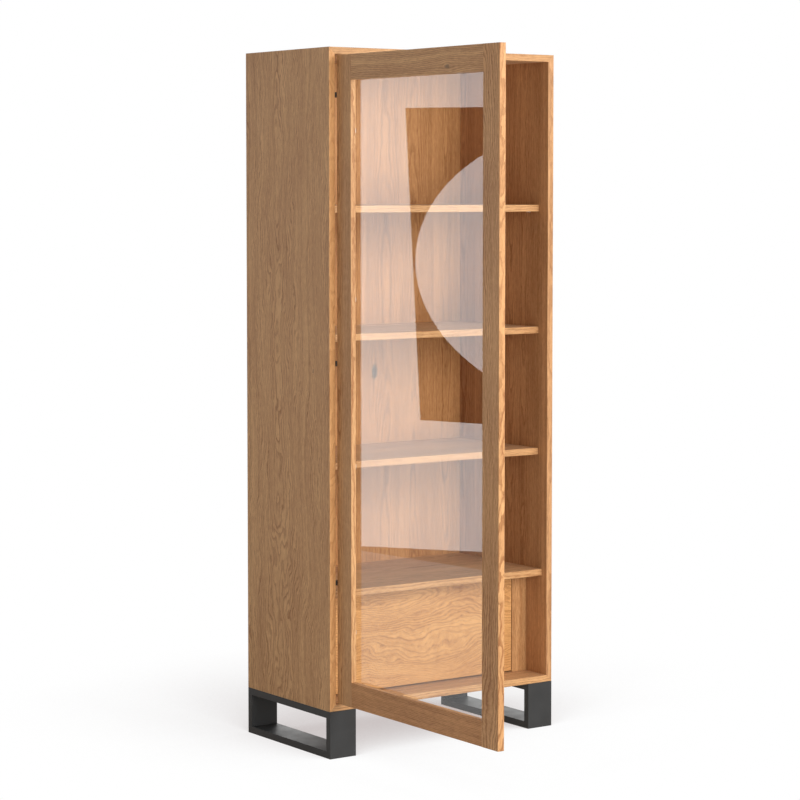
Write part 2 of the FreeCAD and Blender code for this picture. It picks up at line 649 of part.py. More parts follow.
def make_foot(left):
    """A foot: four mitred lengths of flat tube welded into a loop, with sleeves for its screws."""
    whole = mitred_bars(left, left + FOOT_WIDTH, 0)
    hollow = mitred_bars(left, left + FOOT_WIDTH, FOOT_WALL)
    seats = foot_screw_seats(left)
    sleeves = [peg(FOOT_SLEEVE_RADIUS, FOOT_TUBE, seat, Z_AXIS) for seat in seats]
    bores = [peg(SCREW_RADIUS + HOLE_CLEARANCE, FOOT_TUBE, seat, Z_AXIS) for seat in seats]
    bottom, back, top, front = [bar.cut(cut_all(room, sleeves))
                                for bar, room in zip(whole, hollow)]
    return Part.makeCompound([bottom, back, cut_all(top, bores), front])


def make_feet():
    """Both feet and the screws that fix them under the case."""
    right = WIDTH - FOOT_WIDTH
    seats = foot_screw_seats(0) + foot_screw_seats(right)
    screws = []
    for seat in seats:
        head = peg(SCREW_HEAD_RADIUS, -SCREW_HEAD_HEIGHT, seat, Z_AXIS, HEAD_SIDES)
        shank = peg(SCREW_RADIUS, FOOT_TUBE + SCREW_BITE, seat, Z_AXIS)
        screws.append(head.fuse(shank).removeSplitter())
    return {
        "foot_left": make_foot(0),
        "foot_right": make_foot(right),
        "foot_screws": Part.makeCompound(screws),
    }


def make_all():
    """Every node of the bookcase by name."""
    nodes = make_sides()
    nodes["top_panel"] = make_top()
    nodes["bottom_panel"] = make_bottom()
    nodes["back_panel"] = make_back()
    nodes["shelf_fixed"] = make_fixed_shelf()
    nodes["shelf_dowels"] = make_dowels()
    for number, top in enumerate(shelf_tops(), 1):
        nodes["shelf_loose_" + str(number)] = make_loose_shelf(top)
    nodes["shelf_pins"] = make_shelf_pins()
    nodes.update(make_door())
    nodes.update(make_hinges())
    nodes.update(make_door_latch())
    nodes.update(make_fillers())
    nodes.update(make_drawer())
    nodes.update(make_runners())
    nodes.update(make_feet())
    return nodes


os.makedirs("parts", exist_ok=True)
for node, shape in make_all().items():
    shape.exportStep(os.path.join("parts", node + ".step"))
    print(node, len(shape.Solids), "solids", round(shape.Volume / 1000.0, 1), "cm3")
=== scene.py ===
# %% [markdown]
# # A tall oak bookcase with a framed glass door
#
# The case, the shelves, the door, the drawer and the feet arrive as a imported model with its
# joints. This notebook gives them their looks: oak with rings, pores and staves, clear glass,
# powder coated steel, and the small screws that hold the hardware. One unit is one metre, X runs
# to the right, Y runs back from the front and Z runs up from the floor.

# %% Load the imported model
import math

import bmesh
import bpy
from mathutils import Matrix, Vector


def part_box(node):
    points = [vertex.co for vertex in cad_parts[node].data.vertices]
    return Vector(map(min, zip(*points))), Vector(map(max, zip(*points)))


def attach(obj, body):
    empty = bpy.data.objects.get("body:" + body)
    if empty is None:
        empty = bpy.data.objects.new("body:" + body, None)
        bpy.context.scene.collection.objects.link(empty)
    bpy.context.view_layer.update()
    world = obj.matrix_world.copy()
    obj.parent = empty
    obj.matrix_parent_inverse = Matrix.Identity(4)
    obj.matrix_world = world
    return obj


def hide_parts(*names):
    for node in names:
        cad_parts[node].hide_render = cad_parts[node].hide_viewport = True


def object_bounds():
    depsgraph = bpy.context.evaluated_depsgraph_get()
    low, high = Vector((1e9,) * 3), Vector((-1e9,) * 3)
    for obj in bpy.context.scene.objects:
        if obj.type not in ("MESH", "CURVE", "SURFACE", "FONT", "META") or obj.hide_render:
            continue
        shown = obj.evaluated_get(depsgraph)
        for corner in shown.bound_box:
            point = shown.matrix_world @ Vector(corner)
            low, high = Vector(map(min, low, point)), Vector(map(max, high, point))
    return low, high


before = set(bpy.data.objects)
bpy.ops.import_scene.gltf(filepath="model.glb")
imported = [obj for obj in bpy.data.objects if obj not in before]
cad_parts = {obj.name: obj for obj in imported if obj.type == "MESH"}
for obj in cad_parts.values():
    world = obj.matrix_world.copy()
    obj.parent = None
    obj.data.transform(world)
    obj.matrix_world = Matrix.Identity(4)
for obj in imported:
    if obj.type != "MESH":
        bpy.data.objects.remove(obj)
cad_low, cad_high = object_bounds()

# %% [markdown]
# ## Camera
#
# A long lens keeps upright boards nearly parallel, as a furniture studio does. The camera stands
# at eye height on the left, so it sees the outside of the left board and, past the open door, the
# shelves. It leans down a little, and the frame is shifted a little, so both ends of the tall case
# are in the picture.

# %% Camera
LENS = 113.2975
CAMERA_PLACE = (-3.85659, -5.8606, 1.60601)
CAMERA_YAW = 0.61008
CAMERA_PITCH = 0.06463
CAMERA_SHIFT = -0.06
CAMERA_REACH = 100.0

camera_data = bpy.data.cameras.new("camera")
camera_data.lens = LENS
camera_data.shift_y = CAMERA_SHIFT
camera_data.clip_end = CAMERA_REACH
camera = bpy.data.objects.new("camera", camera_data)
camera.location = CAMERA_PLACE
camera.rotation_euler = (math.pi / 2 - CAMERA_PITCH, 0, -CAMERA_YAW)
bpy.context.collection.objects.link(camera)
bpy.context.scene.camera = camera
bpy.context.scene.view_settings.view_transform = "Standard"
print("camera at", CAMERA_PLACE, "with a lens of", LENS, "mm")

# %% [markdown]
# ## Node helpers
#
# Every material below is a tree of nodes. These helpers keep the trees short. The first adds a
# node and fills its inputs, where a socket becomes a link and anything else a value. The others
# wrap the kinds of node that come up again and again.


# %% Node helpers
def add(tree, kind, values=None, **options):
    """Adds a node, sets its options and fills its inputs by name or number."""
    made = tree.nodes.new(kind)
    for option, value in options.items():
        setattr(made, option, value)
    for key, value in (values or {}).items():
        if isinstance(value, bpy.types.NodeSocket):
            tree.links.new(value, made.inputs[key])
        else:
            made.inputs[key].default_value = value
    return made


def math_of(tree, operation, *values):
    """The result of one Math node."""
    return add(tree, "ShaderNodeMath", dict(enumerate(values)), operation=operation).outputs[0]


def vector_of(tree, operation, *vectors):
    """The result of one Vector Math node."""
    return add(tree, "ShaderNodeVectorMath", dict(enumerate(vectors)),
               operation=operation).outputs[0]


def stretched(tree, vector, scale):
    """A vector scaled by its own number on each axis."""
    return vector_of(tree, "MULTIPLY", vector, scale)


def scaled(tree, vector, factor):
    """A vector scaled by one number."""
    return add(tree, "ShaderNodeVectorMath", {"Vector": vector, "Scale": factor},
               operation="SCALE").outputs[0]


def length_of(tree, vector):
    """The length of a vector."""
    return add(tree, "ShaderNodeVectorMath", {0: vector}, operation="LENGTH").outputs["Value"]


def split(tree, vector):
    """The three parts of a vector."""
    return add(tree, "ShaderNodeSeparateXYZ", {0: vector}).outputs


def joined(tree, *parts):
    """A vector of up to three parts."""
    return add(tree, "ShaderNodeCombineXYZ", dict(enumerate(parts))).outputs[0]


def ranged(tree, value, low, high, to_low=0.0, to_high=1.0, smooth=False):
    """A value mapped from one span to another and clamped."""
    kind = "SMOOTHSTEP" if smooth else "LINEAR"
    return add(tree, "ShaderNodeMapRange", {"Value": value, "From Min": low, "From Max": high,
               "To Min": to_low, "To Max": to_high}, interpolation_type=kind).outputs["Result"]


def blend_colour(tree, share, first, second, mode="MIX"):
    """The first colour changed towards the second."""
    made = tree.nodes.new("ShaderNodeMix")
    made.data_type = "RGBA"
    made.blend_type = mode
    share_input, first_input, second_input = made.inputs[0], made.inputs[6], made.inputs[7]
    for socket, value in ((share_input, share), (first_input, first), (second_input, second)):
        if isinstance(value, bpy.types.NodeSocket):
            tree.links.new(value, socket)
        else:
            socket.default_value = value
    return made.outputs[2]


def noise(tree, vector, scale, detail=2.0, rough=0.5):
    """A noise texture node."""
    return add(tree, "ShaderNodeTexNoise", {"Vector": vector, "Scale": scale, "Detail": detail,
               "Roughness": rough})


def shader_group(name, inputs, outputs):
    """An empty shader group with named sockets, given as (name, kind, default)."""
    group = bpy.data.node_groups.new(name, "ShaderNodeTree")
    for label, kind, default in inputs:
        socket = group.interface.new_socket(label, in_out="INPUT", socket_type="NodeSocket" + kind)
        if default is not None:
            socket.default_value = default
    for label, kind in outputs:
        group.interface.new_socket(label, in_out="OUTPUT", socket_type="NodeSocket" + kind)
    return group, group.nodes.new("NodeGroupInput").outputs, group.nodes.new("NodeGroupOutput")


print("helpers for nodes, from", add.__name__, "to", shader_group.__name__)

# %% [markdown]
# ## Oak
#
# Oak is ring porous: each year leaves a band of open pores that oil turns dark, then a band of
# dense pale wood. A picture of planks would repeat and stop at each edge. A solid pattern of rings
# round the log's heart runs through the board instead, so a face shows arches, an edge shows
# stripes and a cut end shows arcs. Each stave of a glued board comes from its own part of a log.
# The group takes coordinates in which X runs across the board, Y through it and Z along the grain.
# With a Chance of 1 each stave's heart lies where chance puts it, and with 0 the inputs say where.

# %% A stave's place in its log
SEED_STEP = 0.377
LOG_LENGTH = 9.0
HEART_ASIDE = 0.9
HEART_BELOW = 0.85


def place_in_log(group, given):
    """Where a point lies in its stave's log, from the heart, and one chance for each stave."""
    across, through, along = split(group, given["Vector"])
    staves = math_of(group, "ADD", math_of(group, "DIVIDE", across, given["Stave Width"]),
                     math_of(group, "MULTIPLY", given["Seed"], SEED_STEP))
    stave = math_of(group, "FLOOR", staves)
    chance = add(group, "ShaderNodeTexWhiteNoise", {"Vector": joined(group, stave, given["Seed"])},
                 noise_dimensions="3D").outputs
    picks = add(group, "ShaderNodeSeparateColor", {0: chance["Color"]}).outputs
    aside, below, tilt = [math_of(group, "MULTIPLY", math_of(group, "SUBTRACT", pick, 0.5),
                                  given["Chance"]) for pick in picks]
    heart = math_of(group, "ADD", math_of(group, "MULTIPLY", aside, HEART_ASIDE), 0.5)
    local = math_of(group, "SUBTRACT", math_of(group, "SUBTRACT", staves, stave), heart)
    local = math_of(group, "MULTIPLY", local, given["Stave Width"])
    local = math_of(group, "SUBTRACT", local, given["Heart Shift"])
    steady = math_of(group, "MULTIPLY", math_of(group, "SUBTRACT", 1.0, given["Chance"]), 0.5)
    lean = math_of(group, "MULTIPLY", math_of(group, "ADD", tilt, steady), given["Lean"])
    deep = math_of(group, "MULTIPLY", math_of(group, "ADD", below, HEART_BELOW),
                   given["Heart Depth"])
    deep = math_of(group, "ADD", deep, through)
    deep = math_of(group, "ADD", deep, math_of(group, "MULTIPLY", lean, along))
    start = math_of(group, "MULTIPLY", picks[0], LOG_LENGTH)
    return joined(group, local, deep, math_of(group, "ADD", along, start)), chance["Value"]


print("each stave is cut from a log of", LOG_LENGTH, "m")

# %% Growth and year rings
# How fine each noise is, across the board, through it and along the grain.
WANDER_GRAIN = (7.0, 7.0, 2.6)
TREMBLE_GRAIN = (40.0, 40.0, 22.0)
WANDER_ALONG = 0.4
RING_BANDS = 70.0

# When in the year spring wood comes and goes, how dark it is, how much that changes from year to
# year, and the reach of broad bands.
SPRING_COMES = (0.0, 0.12)
SPRING_GOES = (0.16, 0.62)
SPRING_TONE = 0.35
YEAR_TONE = 0.4
BAND_TONE = 0.3


def grown(group, given, place):
    """The place pushed aside, as a trunk wanders and its fibres tremble."""
    half = (0.5, 0.5, 0.5)
    broad = noise(group, stretched(group, place, WANDER_GRAIN), 1.0, 3.0, 0.55).outputs["Color"]
    fine = noise(group, stretched(group, place, TREMBLE_GRAIN), 1.0, 3.0, 0.6).outputs["Color"]
    sway = scaled(group, vector_of(group, "SUBTRACT", broad, half), given["Wander"])
    sway = stretched(group, sway, (1.0, 1.0, WANDER_ALONG))
    shake = scaled(group, vector_of(group, "SUBTRACT", fine, half), given["Tremble"])
    return vector_of(group, "ADD", vector_of(group, "ADD", place, sway), shake)


def year_rings(group, given, moved):
    """The share of open spring wood, and the tone that the rings give."""
    radius = length_of(group, stretched(group, moved, (1.0, 1.0, 0.0)))
    rings = math_of(group, "DIVIDE", radius, given["Ring Width"])
    season = math_of(group, "FRACT", rings)
    spring = math_of(group, "MULTIPLY", ranged(group, season, *SPRING_COMES, smooth=True),
                     ranged(group, season, *SPRING_GOES, 1.0, 0.0, smooth=True))
    year = add(group, "ShaderNodeTexWhiteNoise", {"W": math_of(group, "FLOOR", rings)},
               noise_dimensions="1D").outputs["Value"]
    depth = math_of(group, "ADD", SPRING_TONE, math_of(group, "MULTIPLY", year, YEAR_TONE))
    bands = noise(group, joined(group, radius), RING_BANDS, 3.0).outputs[0]
    tone = math_of(group, "ADD", math_of(group, "MULTIPLY", spring, depth),
                   ranged(group, bands, 0.3, 0.7, -BAND_TONE, BAND_TONE))
    return spring, math_of(group, "MULTIPLY", tone, given["Figure"])


print("spring wood is over", SPRING_GOES[1], "of the way through a year")

# %% Oak group
OAK_INPUTS = (
    ("Vector", "Vector", None), ("Seed", "Float", 0.0), ("Chance", "Float", 1.0),
    ("Stave Width", "Float", 0.09), ("Stave Tone", "Float", 0.25), ("Ring Width", "Float", 0.0045),
    ("Wander", "Float", 0.02), ("Tremble", "Float", 0.005), ("Lean", "Float", 0.05),
    ("Heart Depth", "Float", 0.04), ("Heart Shift", "Float", 0.0), ("Figure", "Float", 0.6),
    ("Pores", "Float", 0.5), ("Pale", "Color", (0.67, 0.382, 0.172, 1)),
    ("Dark", "Color", (0.32, 0.133, 0.042, 1)),
)
FIBRE_GRAIN = (420.0, 420.0, 6.0)
STREAK_GRAIN = (90.0, 90.0, 2.0)
FLECK_GRAIN = (240.0, 240.0, 45.0)
CLOUD_GRAIN = (11.0, 11.0, 2.8)
PORE_GRAIN = (1500.0, 1500.0, 38.0)

# How far each noise turns the tone towards dark or pale, about the middle tone.
MIDDLE_TONE = 0.36
FIBRE_TONE = 0.10
STREAK_TONE = 0.14
FLECK_TONE = 0.28
CLOUD_TONE = 0.20

# Pores are open in spring wood and nearly closed in the rest.
PORE_CUT = (0.54, 0.68)
CLOSED_PORES = 0.18
PORE_OIL = (0.30, 0.19, 0.10, 1)
PORE_DEPTH = 0.8
PORE_ROUGHNESS = 0.25
FIBRE_HEIGHT = 0.25
FIBRE_ROUGHNESS = 0.05
OAK_ROUGHNESS = 0.44


def oak_group():
    """Colour, roughness and height of oiled oak."""
    group, given, out = shader_group("oak", OAK_INPUTS, [("Color", "Color"),
                                     ("Roughness", "Float"), ("Height", "Float")])
    place, chance = place_in_log(group, given)
    moved = grown(group, given, place)
    spring, tone = year_rings(group, given, moved)

    fibre = noise(group, stretched(group, moved, FIBRE_GRAIN), 1.0, 3.0, 0.6).outputs[0]
    streak = noise(group, stretched(group, moved, STREAK_GRAIN), 1.0, 3.0, 0.6).outputs[0]
    fleck = noise(group, stretched(group, moved, FLECK_GRAIN), 1.0, 3.0, 0.65).outputs[0]
    cloud = noise(group, stretched(group, place, CLOUD_GRAIN), 1.0, 2.0).outputs[0]
    for part, reach in ((fibre, FIBRE_TONE), (streak, STREAK_TONE), (fleck, FLECK_TONE),
                        (cloud, CLOUD_TONE)):
        tone = math_of(group, "ADD", tone, ranged(group, part, 0.25, 0.75, -reach, reach))
    own = math_of(group, "MULTIPLY", given["Stave Tone"],
                  math_of(group, "SUBTRACT", chance, 0.5))
    tone = math_of(group, "ADD", math_of(group, "ADD", tone, own), MIDDLE_TONE)
    colour = blend_colour(group, add(group, "ShaderNodeClamp", {0: tone}).outputs[0],
                          given["Pale"], given["Dark"])

    pore = noise(group, stretched(group, moved, PORE_GRAIN), 1.0, 1.0).outputs[0]
    pore = math_of(group, "MULTIPLY", ranged(group, pore, *PORE_CUT),
                   ranged(group, spring, 0.0, 0.8, CLOSED_PORES, 1.0))
    pore = math_of(group, "MULTIPLY", pore, given["Pores"])
    colour = blend_colour(group, pore, colour, PORE_OIL, "MULTIPLY")
    rough = math_of(group, "ADD", OAK_ROUGHNESS, math_of(group, "MULTIPLY", pore, PORE_ROUGHNESS))
    rough = math_of(group, "ADD", rough,
                    ranged(group, fibre, 0.2, 0.8, -FIBRE_ROUGHNESS, FIBRE_ROUGHNESS))
    height = math_of(group, "SUBTRACT", ranged(group, fibre, 0.2, 0.8, 0.0, FIBRE_HEIGHT),
                     math_of(group, "MULTIPLY", pore, PORE_DEPTH))
    group.links.new(colour, out.inputs["Color"])
    group.links.new(rough, out.inputs["Roughness"])
    group.links.new(height, out.inputs["Height"])
    return group


OAK = oak_group()
print("oak group:", len(OAK.nodes), "nodes")

# %% [markdown]
# ## Knots
#
# A branch leaves a dark, hard disc, and the fibres flow round it. The group pushes the board's
# coordinates aside near the knot, so the rings bend round it, and gives a mask for its dark heart.
# A knot is long along the grain and runs deep into the board, so its distances are squeezed.

# %% Knot group
KNOT_SQUEEZE = (1.0, 0.25, 0.45)
KNOT_PUSH = (-0.85, 0.0, 0.0)
KNOT_REACH = 0.38
KNOT_RAG = 0.45
KNOT_RAG_GRAIN = 260.0
KNOT_RIM = (0.5, 1.25)


def knot_group():
    """Coordinates that flow round a knot, and the knot's mask."""
    group, given, out = shader_group(
        "knot", [("Vector", "Vector", None), ("Centre", "Vector", (0, 0, 0)),
                 ("Radius", "Float", 0.008)], [("Vector", "Vector"), ("Mask", "Float")])
    away = vector_of(group, "SUBTRACT", given["Vector"], given["Centre"])
    away = stretched(group, away, KNOT_SQUEEZE)
    ratio = math_of(group, "DIVIDE", length_of(group, away), given["Radius"])
    fall = math_of(group, "POWER", math_of(group, "MULTIPLY", ratio, KNOT_REACH), 2.0)
    fall = math_of(group, "DIVIDE", 1.0, math_of(group, "ADD", 1.0, fall))
    push = scaled(group, stretched(group, away, KNOT_PUSH), fall)
    bent = vector_of(group, "ADD", given["Vector"], push)
    rag = noise(group, given["Vector"], KNOT_RAG_GRAIN).outputs[0]
    ratio = math_of(group, "ADD", ratio, ranged(group, rag, 0.2, 0.8, -KNOT_RAG, KNOT_RAG))
    group.links.new(bent, out.inputs["Vector"])
    group.links.new(ranged(group, ratio, *KNOT_RIM, 1.0, 0.0, smooth=True), out.inputs["Mask"])
    return group


KNOT = knot_group()
print("knot group:", len(KNOT.nodes), "nodes")

# %% [markdown]
# ## Eased edges
#
# No real edge is a perfect line: boards are sanded and tube is drawn with a small radius, so each
# edge catches a thread of light. The Bevel node rounds the normal near an edge, and the turn
# between that normal and the true one masks a thin band along it. On oak that band is painted
# paler, partly as wear from hands and cloths and partly as a painted highlight.

# %% Eased edge group
BEVEL_SAMPLES = 4
# Cosines of the turn where the band of wear and painted highlight begins and where it is full.
WEAR_AND_HIGHLIGHT_TURN = (0.98, 0.75)


def edge_group():
    """A rounded normal near edges, and a mask of the edge for wear and a painted highlight."""
    group, given, out = shader_group("eased_edges", [("Radius", "Float", 0.0012)],
                                     [("Normal", "Vector"), ("Wear And Highlight", "Float")])
    round_normal = add(group, "ShaderNodeBevel", {"Radius": given["Radius"]},
                       samples=BEVEL_SAMPLES).outputs[0]
    true_normal = add(group, "ShaderNodeNewGeometry").outputs["True Normal"]
    match = add(group, "ShaderNodeVectorMath", {0: round_normal, 1: true_normal},
                operation="DOT_PRODUCT").outputs["Value"]
    group.links.new(round_normal, out.inputs["Normal"])
    group.links.new(ranged(group, match, *WEAR_AND_HIGHLIGHT_TURN), out.inputs["Wear And Highlight"])
    return group


EDGES = edge_group()
print("edge group:", len(EDGES.nodes), "nodes")

# %% [markdown]
# ## From group to material
#
# A board's pattern is centred on the board and turned to its grain, so the middle of the pattern
# is the middle of the wood wherever the board stands. The turn is a Mapping node worked out from
# two words: the axis across the board and the axis of the grain. A board's front edge may be
# given a painted highlight: a paler colour in place of the light it catches. Sanded oak also has
# a faint haze of fibre ends, which the sheen gives where a board is seen at a glancing angle.

# %% Oak materials
AXES = {"x": Vector((1, 0, 0)), "y": Vector((0, 1, 0)), "z": Vector((0, 0, 1))}
KNOT_HEART = (0.10, 0.055, 0.03, 1)
# The paler colour on every oak edge, part wear and part painted highlight, and its share.
WEAR_AND_HIGHLIGHT_OAK = (0.90, 0.66, 0.40, 1)
WEAR_AND_HIGHLIGHT_SHARE = 0.10
# The colour and depth of the painted highlight on a board's front edge.
FRONT_HIGHLIGHT_OAK = (0.775, 0.38, 0.14, 1)
FRONT_HIGHLIGHT_DEPTH = 0.0003
GRAIN_RELIEF = 0.35
GRAIN_DEPTH = 0.0004
OAK_SHINE = 0.35
SHEEN = 0.07
SHEEN_TINT = (1.0, 0.86, 0.70, 1)


def new_material(name):
    """A material with an empty Principled shader."""
    made = bpy.data.materials.new(name)
    made.use_nodes = True
    tree = made.node_tree
    return made, tree, tree.nodes["Principled BSDF"]


def board_vector(tree, node, across, grain):
    """Coordinates centred on a board, turned so that Z runs along its grain."""
    low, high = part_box(node)
    through = AXES[grain].cross(AXES[across])
    turn = Matrix((AXES[across], through, AXES[grain]))
    middle = turn @ ((Vector(low) + Vector(high)) / 2)
    coordinates = add(tree, "ShaderNodeTexCoord").outputs["Object"]
    return add(tree, "ShaderNodeMapping", {"Vector": coordinates, "Location": -middle,
               "Rotation": turn.to_euler()}).outputs[0]


def painted_front_highlight(tree, node, colour, share):
    """A colour turned paler on the board's front edge: a painted highlight."""
    depth = split(tree, add(tree, "ShaderNodeTexCoord").outputs["Object"])[1]
    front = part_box(node)[0][1]
    mask = ranged(tree, depth, front + FRONT_HIGHLIGHT_DEPTH, front + 2 * FRONT_HIGHLIGHT_DEPTH, share, 0.0)
    return blend_colour(tree, mask, colour, FRONT_HIGHLIGHT_OAK)


def oak_material(node, across, grain, seed, knots=(), front_share=0.0, **values):
    """Oak for one board. Knots are (across, along, radius, darkness) from its middle."""
    made, tree, shader = new_material("oak_" + node)
    vector = board_vector(tree, node, across, grain)
    masks = []
    for x, z, radius, dark in knots:
        knot = add(tree, "ShaderNodeGroup", node_tree=KNOT)
        tree.links.new(vector, knot.inputs["Vector"])
        knot.inputs["Centre"].default_value = (x, 0, z)
        knot.inputs["Radius"].default_value = radius
        vector = knot.outputs["Vector"]
        masks.append(math_of(tree, "MULTIPLY", knot.outputs["Mask"], dark))
    oak = add(tree, "ShaderNodeGroup", node_tree=OAK)
    tree.links.new(vector, oak.inputs["Vector"])
    oak.inputs["Seed"].default_value = seed
    for label, value in values.items():
        oak.inputs[label.replace("_", " ")].default_value = value
    edges = add(tree, "ShaderNodeGroup", node_tree=EDGES)
    colour = oak.outputs["Color"]
    for mask in masks:
        colour = blend_colour(tree, mask, colour, KNOT_HEART)
    # Some boards get a painted highlight on their front edge.
    if front_share:
        colour = painted_front_highlight(tree, node, colour, front_share)
    # Every oak edge is painted paler: part wear, part painted highlight.
    wear_and_highlight = math_of(tree, "MULTIPLY", edges.outputs["Wear And Highlight"], WEAR_AND_HIGHLIGHT_SHARE)
    colour = blend_colour(tree, wear_and_highlight, colour, WEAR_AND_HIGHLIGHT_OAK)
    bump = add(tree, "ShaderNodeBump", {"Height": oak.outputs["Height"], "Strength": GRAIN_RELIEF,
               "Distance": GRAIN_DEPTH, "Normal": edges.outputs["Normal"]})
    tree.links.new(colour, shader.inputs["Base Color"])
    tree.links.new(oak.outputs["Roughness"], shader.inputs["Roughness"])
    tree.links.new(bump.outputs[0], shader.inputs["Normal"])
    shader.inputs["Specular IOR Level"].default_value = OAK_SHINE
    shader.inputs["Sheen Weight"].default_value = SHEEN
    shader.inputs["Sheen Tint"].default_value = SHEEN_TINT
    return made


def dress(node, material):
    """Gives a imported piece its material."""
    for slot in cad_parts[node].material_slots:
        slot.material = material


# The first colour shown is the painted highlight on a board's front edge.
# The second is the paler edge colour, part wear and part painted highlight.
print("oak is", FRONT_HIGHLIGHT_OAK[:3], "and its worn edges are", WEAR_AND_HIGHLIGHT_OAK[:3])

# %% [markdown]
# ## The boards
#
# The case boards are glued from staves with upright or lengthwise grain. The door's stiles and
# rails are single boards, and the drawer front is one wide board with a bold figure, cut close to
# the log's heart. Each row names the axis across the board, the axis of its grain and what differs
# from plain oak, and a board's seed is its number in the table.

# %% Dress the boards
# The right board is a darker copy of the oak: painted shade for its inside face, in shadow.
RIGHT_PAINTED_SHADE = dict(Pale=(0.60, 0.325, 0.148, 1), Dark=(0.287, 0.117, 0.038, 1))
# The back panel is a darker copy of the oak: painted shade for the back of the case, in shadow.
BACK_PAINTED_SHADE = dict(Pale=(0.60, 0.308, 0.120, 1), Dark=(0.29, 0.115, 0.034, 1))
STILE_TONE = dict(Pale=(0.66, 0.360, 0.153, 1), Dark=(0.315, 0.128, 0.039, 1))
RAIL_TONE = dict(Pale=(0.62, 0.305, 0.118, 1), Dark=(0.295, 0.112, 0.031, 1))
DRAWER_TONE = dict(Pale=(0.68, 0.362, 0.134, 1), Dark=(0.37, 0.155, 0.046, 1))
DOWEL_TONE = dict(Pale=(0.72, 0.52, 0.33, 1))

BOARDS = {
    # The left board's front edge carries a painted highlight.
    "side_left": ("y", "z", dict(
        knots=[(-0.135, 0.026, 0.004, 0.8)], Stave_Width=1.2, Chance=0.0, Heart_Shift=-0.098,
        Heart_Depth=-0.045, Lean=0.12, Ring_Width=0.0065, Wander=0.11, Tremble=0.010,
        Figure=0.75, front_share=0.45)),
    "side_right": ("y", "z", dict(Stave_Width=0.11, **RIGHT_PAINTED_SHADE)),
    "top_panel": ("y", "x", dict(Stave_Width=0.11)),
    "bottom_panel": ("y", "x", dict(Stave_Width=0.11)),
    "back_panel": ("x", "z", dict(
        knots=[(0.055, -0.016, 0.011, 1.0)], Stave_Width=0.13, Figure=0.6, Stave_Tone=0.4,
        **BACK_PAINTED_SHADE)),
    "shelf_fixed": ("y", "x", dict(Stave_Width=0.10)),
    "shelf_loose_1": ("y", "x", dict(Stave_Width=0.10)),
    "shelf_loose_2": ("y", "x", dict(Stave_Width=0.10, Stave_Tone=0.0)),
    "shelf_loose_3": ("y", "x", dict(Stave_Width=0.10, Stave_Tone=0.1)),
    "door_stile_hinge": ("y", "z", dict(Stave_Width=0.5, Lean=0.15, Wander=0.03)),
    "door_stile_free": ("y", "z", dict(
        knots=[(0.0, -0.80, 0.022, 0.0)], Stave_Width=0.5, Lean=0.25, Wander=0.06, Tremble=0.009,
        Ring_Width=0.006, Figure=0.9, **STILE_TONE)),
    "door_rail_bottom": ("z", "y", dict(Stave_Width=0.5, **RAIL_TONE)),
    "door_rail_top": ("z", "y", dict(
        knots=[(-0.016, -0.147, 0.006, 0.7)], Stave_Width=0.5, Figure=0.8)),
    "drawer_front": ("z", "x", dict(
        knots=[(-0.025, 0.057, 0.035, 0.0)], Stave_Width=0.8, Chance=0.0, Heart_Shift=-0.10,
        Heart_Depth=0.03, Lean=0.06, Ring_Width=0.0050, Wander=0.10, Tremble=0.008, Figure=0.6,
        **DRAWER_TONE)),
    "filler_left": ("x", "z", dict(Stave_Width=0.3)),
    "filler_right": ("x", "z", dict(Stave_Width=0.3)),
    "runner_block_left": ("z", "y", dict(Stave_Width=0.3)),
    "runner_block_right": ("z", "y", dict(Stave_Width=0.3)),
    "drawer_side_left": ("z", "y", dict(Stave_Width=0.12)),
    "drawer_side_right": ("z", "y", dict(Stave_Width=0.12)),
    "drawer_back": ("z", "x", dict(Stave_Width=0.12)),
    "drawer_bottom": ("y", "x", dict(Stave_Width=0.16, Figure=0.4)),
    "shelf_dowels": ("y", "x", dict(Figure=0.2, **DOWEL_TONE)),
}
for number, (board, (across, grain, values)) in enumerate(BOARDS.items(), 1):
    dress(board, oak_material(board, across, grain, number, **values))
print("oak boards:", len(BOARDS))

# %% [markdown]
# ## Steel, plastic and glass
#
# Powder coat is baked paint with a faint orange peel. Zinc plate is brushed and a little cloudy.
# The hinges are burnished dark, and the latches are moulded in grey plastic. Glass is left as
# plain as it is: its look comes from what it reflects and what stands behind it.

# %% Metal and plastic
CLOUD_SIZE = 18.0
ROUGHNESS_REACH = 0.05
SKIN_DEPTH = 0.0003


def plain_material(name, colour, rough, metal=0.0, skin=600.0, relief=0.1, mottle=0.1,
                   edge=0.0008, shine=0.5):
    """A painted, plated or moulded finish with a fine skin."""
    made, tree, shader = new_material(name)
    coordinates = add(tree, "ShaderNodeTexCoord").outputs["Object"]
    grain = noise(tree, coordinates, skin, 2.0).outputs[0]
    cloud = noise(tree, coordinates, CLOUD_SIZE, 3.0).outputs[0]
    edges = add(tree, "ShaderNodeGroup", node_tree=EDGES)
    edges.inputs["Radius"].default_value = edge
    shade = ranged(tree, cloud, 0.3, 0.7, 1.0 - mottle, 1.0 + mottle)
    grey = add(tree, "ShaderNodeCombineColor", {0: shade, 1: shade, 2: shade}).outputs[0]
    tree.links.new(blend_colour(tree, 1.0, (*colour, 1), grey, "MULTIPLY"),
                   shader.inputs["Base Color"])
    tree.links.new(ranged(tree, cloud, 0.3, 0.7, rough - ROUGHNESS_REACH,
                          rough + ROUGHNESS_REACH), shader.inputs["Roughness"])
    bump = add(tree, "ShaderNodeBump", {"Height": grain, "Strength": relief,
               "Distance": SKIN_DEPTH, "Normal": edges.outputs["Normal"]})
    tree.links.new(bump.outputs[0], shader.inputs["Normal"])
    shader.inputs["Metallic"].default_value = metal
    shader.inputs["Specular IOR Level"].default_value = shine
    return made


